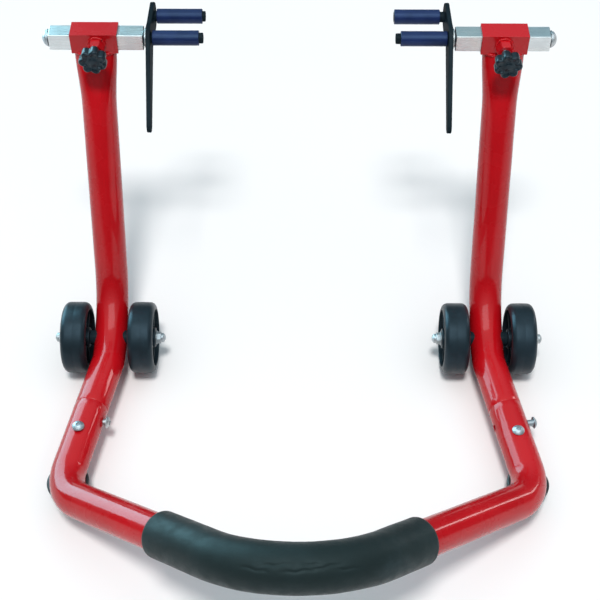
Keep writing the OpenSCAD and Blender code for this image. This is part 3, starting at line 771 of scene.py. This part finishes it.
# ---------------------------------------------------------------- knobs and studs
def star(radius_gap, depth_y, origin, sign, lobes=7, per_lobe=26):
    """A ring of the star knob's outline, drawn in from the full outline by radius_gap."""
    waist, reach, lobe, blend = 13.0, 11.4, 4.6, 14
    round_gap, round_r = 6, 14.0  # further in than round_gap, the rings are plain circles
    points = []
    for k in range(lobes * per_lobe):
        a = 2 * math.pi * k / (lobes * per_lobe)
        pitch = 2 * math.pi / lobes
        off = (a + pitch / 2) % pitch - pitch / 2
        across = reach * math.sin(off)
        bulge = 0
        if abs(across) < lobe:
            bulge = reach * math.cos(off) + math.sqrt(max(0.0, lobe * lobe - across * across))
        r = (waist ** blend + bulge ** blend) ** (1 / blend) - 0.1
        r = max(0.0, (r if radius_gap < round_gap else round_r) - radius_gap)
        points.append(origin + Vector((sign * r * math.cos(a), depth_y, r * math.sin(a))))
    return points


def build_knobs():
    for side, sign in SIDES:
        low, high = cad_box(f"{side}_knob")
        middle = (low + high) / 2
        front = Vector((middle.x, low.y, middle.z))
        thick, neck, stud_r, depth = 13.0, 8.0, 4.1, high.y - low.y
        # how far in from the outline, and how far back from the front
        rows = [(13.99, 1.0), (12.2, 1.0), (9.6, 1.1), (9.2, 1.6), (8.8, 1.9), (6.2, 2.0), (5.2, 1.7),
                (4.2, 0.9), (3.4, 0.35), (2.6, 0.08), (1.9, 0.15), (1.1, 0.6), (0.45, 1.4), (0.05, 2.6),
                (0, 4.0), (0, thick - 3.0), (0.3, thick - 1.6), (1.0, thick - 0.7), (2.0, thick - 0.15),
                (3.2, thick)]
        rings = [star(gap, y, front, sign) for gap, y in rows]
        n = len(rings[0])
        for r, y in ((9.6, thick), (neck + 0.6, thick + 0.3), (neck, thick + 1.2), (neck, depth - 0.8),
                     (neck - 0.8, depth), (stud_r, depth), (stud_r, depth - 3)):
            rings.append([front + Vector((sign * r * math.cos(2 * math.pi * k / n), y,
                                          r * math.sin(2 * math.pi * k / n))) for k in range(n)])
        verts, faces = bands(rings, caps=True)
        obj = to_object(f"{side}_star_knob", verts, faces, KNOB, f"{side}_knob", 50)
        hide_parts(f"{side}_knob")


M8_PITCH = 1.25


def thread(name, start, end, radius, pitch, material, body, root=0.6, tip=0.8):
    """A threaded rod from start to end with a V ridge of that pitch, and a chamfered tip."""
    start, end = Vector(start), Vector(end)
    axis = (end - start).normalized()
    across = axis.orthogonal().normalized()
    third = axis.cross(across)
    length, sides, per_turn = (end - start).length, 32, 6
    count = max(4, math.ceil(length / pitch * per_turn))
    rings = []
    for i in range(count + 1):
        h = length * i / count
        points = []
        for k in range(sides):
            a = 2 * math.pi * k / sides
            phase = (h / pitch - k / sides) % 1
            ridge = abs(2 * phase - 1)
            trim = min(1.0, max(0.0, (tip - (length - h)) / tip)) * 0.9
            points.append(start + h * axis + (radius - 0.05 - root * ridge - trim * root)
                          * (math.cos(a) * across + math.sin(a) * third))
        rings.append(points)
    return to_object(name, *bands(rings, caps=True), material, body, 75)


build_knobs()
for side, _ in SIDES:
    low, high = cad_box(f"{side}_clamp_stud")
    middle = (low + high) / 2
    stud = thread(f"{side}_clamp_thread", (middle.x, low.y, middle.z), (middle.x, high.y, middle.z),
                  (high.x - low.x) / 2, M8_PITCH, ZINC_SMALL, f"{side}_knob")
    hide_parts(f"{side}_clamp_stud")


# ---------------------------------------------------------------- sockets, weld nuts, sliders, levers, pins
def build_weld_nuts():
    for side, _ in SIDES:
        low, high = cad_box(f"{side}_weld_nut")
        middle = (low + high) / 2
        af, height, bore = 17.0, 14.0, 4.15
        rings = []
        for apothem, y, hexed in ((bore, 0, 0), (bore, -height + 0.8, 0), (bore + 0.8, -height, 0),
                                  (af / 2 - 0.3, -height, 0.2), (af / 2, -height + 0.7, 1), (af / 2, 0, 1)):
            points = []
            for k in range(72):
                a = 2 * math.pi * k / 72
                off = (math.degrees(a) % 60) - 30
                flat = apothem / cosd(off)
                r = apothem + (flat - apothem) * hexed
                points.append(Vector((middle.x + r * math.cos(a), high.y + y, middle.z + r * math.sin(a))))
            rings.append(points)
        obj = to_object(f"{side}_weld_nut_skin", *bands(rings, closed=True), RED, ROOT, 25)
        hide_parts(f"{side}_weld_nut")
        r = af / 2 + 0.7
        path = [(middle.x + r * math.cos(a), high.y - 0.7, middle.z + r * math.sin(a))
                for a in (2 * math.pi * k / 60 for k in range(60))]
        weld_bead(f"{side}_nut_weld", path, NUT_WELD_R, ROOT, pitch=2.2)


def dress(node, material):
    """Gives a CAD node that keeps its own shape a better material."""
    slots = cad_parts[node].data.materials
    slots.clear()
    slots.append(material)


build_weld_nuts()

for side, _ in SIDES:
    slider, lever = f"{side}_slider", f"{side}_lever"
    refined(f"{side}_socket", ROOT, RED, 1.1, open_ends=True)
    refined(f"{side}_slider_tube", slider, ZINC, 1.0, open_ends=True)
    refined(f"{side}_slider_bushes", slider, KNOB, 0.3)
    refined(f"{side}_pin_cap", slider, ZINC_SMALL, 0.3)
    refined(f"{side}_end_washer", slider, ZINC_SMALL, 0.2)
    refined(f"{side}_pivot_pin", slider, BLACK, 0.3)
    refined(f"{side}_lever", lever, BLACK, 0.8)
    refined(f"{side}_rear_pin", lever, BLACK, 0.3)
    for place in ("front", "rear"):
        refined(f"{side}_{place}_roller", f"{side}_{place}_roller", ROLLER, 0.6)
    refined(f"{side}_axle_bush", ROOT, BLACK, 0.3)
    refined(f"{side}_axle", ROOT, ZINC_SMALL, 0.4)
    refined(f"{side}_foot", ROOT, RUBBER, 0)
    dress(f"{side}_joint_sleeve", STEEL)

refined("joint_screws", ROOT, ZINC_SMALL, 0.25)
refined("axle_nuts", ROOT, ZINC_SMALL, 0.4)
refined("axle_washers", ROOT, ZINC_SMALL, 0.15)
dress("joint_nuts", ZINC_SMALL)
dress("foot_screws", ZINC_SMALL)


# ---------------------------------------------------------------- studio
def reflector(name, at, aim, size, radiance, colour):
    """A glowing panel that shows in glossy surfaces and doesn't light the floor."""
    data = bpy.data.lights.new(name, "AREA")
    data.shape, data.size, data.size_y = "RECTANGLE", size[0], size[1]
    data.energy, data.color = radiance * math.pi * size[0] * size[1], colour
    obj = add(name, data)
    obj.location = at
    obj.rotation_mode = "QUATERNION"
    obj.rotation_quaternion = (Vector(aim) - Vector(at)).to_track_quat("-Z", "Y")
    obj.visible_diffuse = False


def build_studio():
    mesh = bpy.data.meshes.new("floor")
    wide = 9.0
    mesh.from_pydata([(-wide, -wide, 0), (wide, -wide, 0), (wide, wide, 0), (-wide, wide, 0)],
                     [], [(0, 1, 2, 3)])
    mesh.materials.append(make_floor())
    floor = add("floor", mesh)
    floor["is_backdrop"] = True

    # a high soft lamp whose pool of light fades out well beyond the stand, and which glossy
    # surfaces don't show; the panels after it are what they show instead
    to_key, key_distance, key_angle = Vector((-0.035, -0.31, 1)).normalized(), 8.0, 11.0
    key_irradiance = 2.0
    lamp = bpy.data.lights.new("key", "SPOT")
    lamp.energy = key_irradiance * 4 * math.pi * key_distance ** 2
    lamp.shadow_soft_size = key_distance * tand(key_angle / 2)
    lamp.spot_size, lamp.spot_blend, lamp.color = math.radians(44), 0.5, (1.0, 0.97, 0.945)
    key = add("key", lamp)
    key.location = to_key * key_distance
    key.rotation_mode = "QUATERNION"
    key.rotation_quaternion = (-to_key).to_track_quat("-Z", "Y")
    key.visible_glossy = False

    aim = (0, 0, 0.1)
    reflector("left_window", (-1.7, 1.45, 0.95), aim, (1.75, 2.1), 8.0, (0.45, 0.86, 1.0))
    reflector("overhead", to_key * 2.4, aim, (1.9, 1.9), 2.9, (0.84, 0.96, 1.0))
    reflector("right_strip", (2.15, 1.2, 0.85), aim, (0.26, 0.9), 9.0, (1.0, 0.95, 0.96))

    # the world glows from the floor's dark to a pale ceiling, a little bluer behind the stand
    world = bpy.data.worlds.new("studio")
    bpy.context.scene.world = world
    world.use_nodes = True
    tree = world.node_tree
    coords = tree.nodes.new("ShaderNodeTexCoord")
    split = tree.nodes.new("ShaderNodeSeparateXYZ")
    ramp = tree.nodes.new("ShaderNodeValToRGB")
    behind = tree.nodes.new("ShaderNodeMapRange")
    tint = tree.nodes.new("ShaderNodeMix")
    tint.data_type, tint.blend_type = "RGBA", "MULTIPLY"
    sky, back = (next(i for i in tint.inputs if i.name == n and i.type == "RGBA") for n in "AB")
    tree.links.new(coords.outputs["Generated"], split.inputs["Vector"])
    tree.links.new(split.outputs["Z"], ramp.inputs["Fac"])
    tree.links.new(split.outputs["Y"], behind.inputs["Value"])
    tree.links.new(behind.outputs["Result"], tint.inputs["Factor"])
    tree.links.new(ramp.outputs["Color"], sky)
    back.default_value = (0.66, 1.0, 1.1, 1)
    glow = tree.nodes["Background"]
    tree.links.new(next(o for o in tint.outputs if o.type == "RGBA"), glow.inputs["Color"])
    glow.inputs["Strength"].default_value = 0.84
    stops = ramp.color_ramp.elements
    stops[0].position, stops[0].color = 0.0, (0.08, 0.09, 0.1, 1)
    stops[1].position, stops[1].color = 1.0, (1.15, 1.15, 1.15, 1)
    for position, colour in ((0.3, (0.12, 0.14, 0.16, 1)), (0.5, (0.44, 0.5, 0.54, 1)),
                             (0.72, (0.86, 0.93, 0.97, 1))):
        stop = stops.new(position)
        stop.color = colour


def build_camera():
    """The photograph's viewpoint, solved from the stand's own corners."""
    at = Vector((4.05, -861.9, 1199.2)) * MM
    pitch, yaw, roll = math.radians(48.74), math.radians(-0.15), math.radians(0.09)
    focal_px, image_px, sensor = 1208.5, 600, 36.0
    view = Vector((math.sin(yaw) * math.cos(pitch), math.cos(yaw) * math.cos(pitch), -math.sin(pitch)))
    right = Vector((math.cos(yaw), -math.sin(yaw), 0))
    up = right.cross(view)
    right, up = (math.cos(roll) * right + math.sin(roll) * up, math.cos(roll) * up - math.sin(roll) * right)
    data = bpy.data.cameras.new("camera")
    data.sensor_width = sensor
    data.lens = focal_px / image_px * sensor
    data.clip_start, data.clip_end = 0.05, 50
    camera = add("camera", data)
    turn = Matrix((right, up, -view)).transposed().to_4x4()
    camera.matrix_world = Matrix.Translation(at) @ turn
    bpy.context.scene.camera = camera


build_studio()
build_camera()
bpy.context.scene.view_settings.view_transform = "Standard"

low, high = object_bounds()
